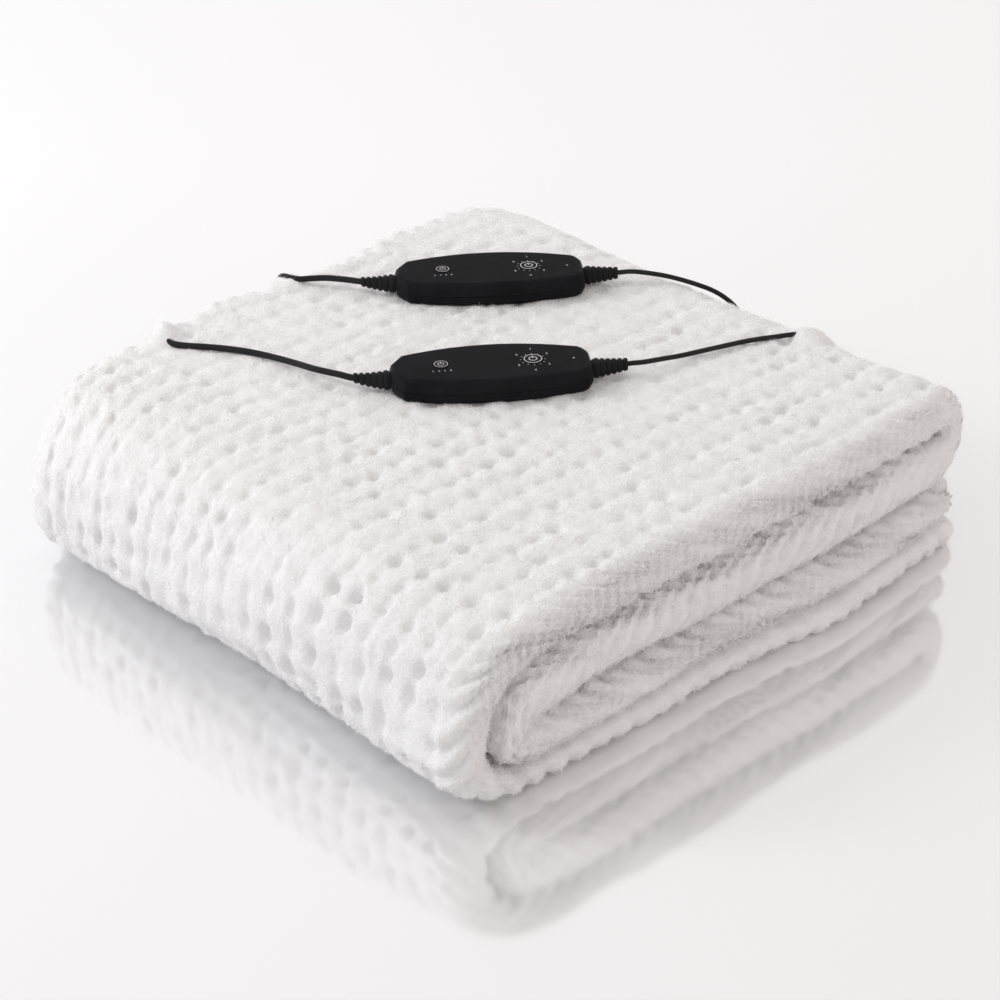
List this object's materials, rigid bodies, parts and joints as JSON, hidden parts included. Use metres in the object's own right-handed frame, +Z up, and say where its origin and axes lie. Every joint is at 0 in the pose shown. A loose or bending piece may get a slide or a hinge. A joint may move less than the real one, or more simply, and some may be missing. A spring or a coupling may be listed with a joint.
{
  "type": "electric heated blanket",
  "caption": "Folded fleece heated blanket in a square pile, with corded hand controllers lying on top and their leads running down behind it.",
  "frame": {"origin": "middle of the folded pile's footprint, on the surface it stands on", "axes": "+Z up; the big rounded fold is at -X, the small folds of the strip are at -Y, the coiled leads lie on the floor at +Y"},
  "size_m": [0.555, 0.5889, 0.1403],
  "materials": {
    "fleece": "soft matt pile",
    "case_plastic": "satin black",
    "button_plastic": "satin black",
    "soft_sleeve": "matt black",
    "cord_sheath": "satin black",
    "plug_plastic": "satin black",
    "pin_metal": "polished"
  },
  "bodies": {
    "blanket_and_controllers": {"blanket": "fleece", "front_blanket_lead": "cord_sheath", "front_controller_base": "case_plastic", "front_controller_cover": "case_plastic", "front_lead_connector": "plug_plastic", "front_lead_relief": "soft_sleeve", "front_mains_coil": "cord_sheath", "front_mains_lead": "cord_sheath", "front_mains_relief": "soft_sleeve", "front_plug": "plug_plastic", "front_plug_lead": "cord_sheath", "front_plug_pin_1": "pin_metal", "front_plug_pin_2": "pin_metal", "rear_blanket_lead": "cord_sheath", "rear_controller_base": "case_plastic", "rear_controller_cover": "case_plastic", "rear_lead_connector": "plug_plastic", "rear_lead_relief": "soft_sleeve", "rear_mains_coil": "cord_sheath", "rear_mains_lead": "cord_sheath", "rear_mains_relief": "soft_sleeve", "rear_plug": "plug_plastic", "rear_plug_lead": "cord_sheath", "rear_plug_pin_1": "pin_metal", "rear_plug_pin_2": "pin_metal"},
    "rear_heat_button_body": {"rear_heat_button": "button_plastic"},
    "rear_timer_button_body": {"rear_timer_button": "button_plastic"},
    "front_heat_button_body": {"front_heat_button": "button_plastic"},
    "front_timer_button_body": {"front_timer_button": "button_plastic"}
  },
  "joints": [
    {"name": "rear_heat_button_press", "type": "slide", "parent": "blanket_and_controllers", "child": "rear_heat_button_body", "axis": [0.0049, -0.004, -1], "range_m": [0, 0.0008], "stiffness_N_per_m": 800, "springref_m": -0.001},
    {"name": "rear_timer_button_press", "type": "slide", "parent": "blanket_and_controllers", "child": "rear_timer_button_body", "axis": [0.0049, -0.004, -1], "range_m": [0, 0.0008], "stiffness_N_per_m": 800, "springref_m": -0.001},
    {"name": "front_heat_button_press", "type": "slide", "parent": "blanket_and_controllers", "child": "front_heat_button_body", "axis": [0.0062, -0.0048, -1], "range_m": [0, 0.0008], "stiffness_N_per_m": 800, "springref_m": -0.001},
    {"name": "front_timer_button_press", "type": "slide", "parent": "blanket_and_controllers", "child": "front_timer_button_body", "axis": [0.0062, -0.0048, -1], "range_m": [0, 0.0008], "stiffness_N_per_m": 800, "springref_m": -0.001}
  ]
}
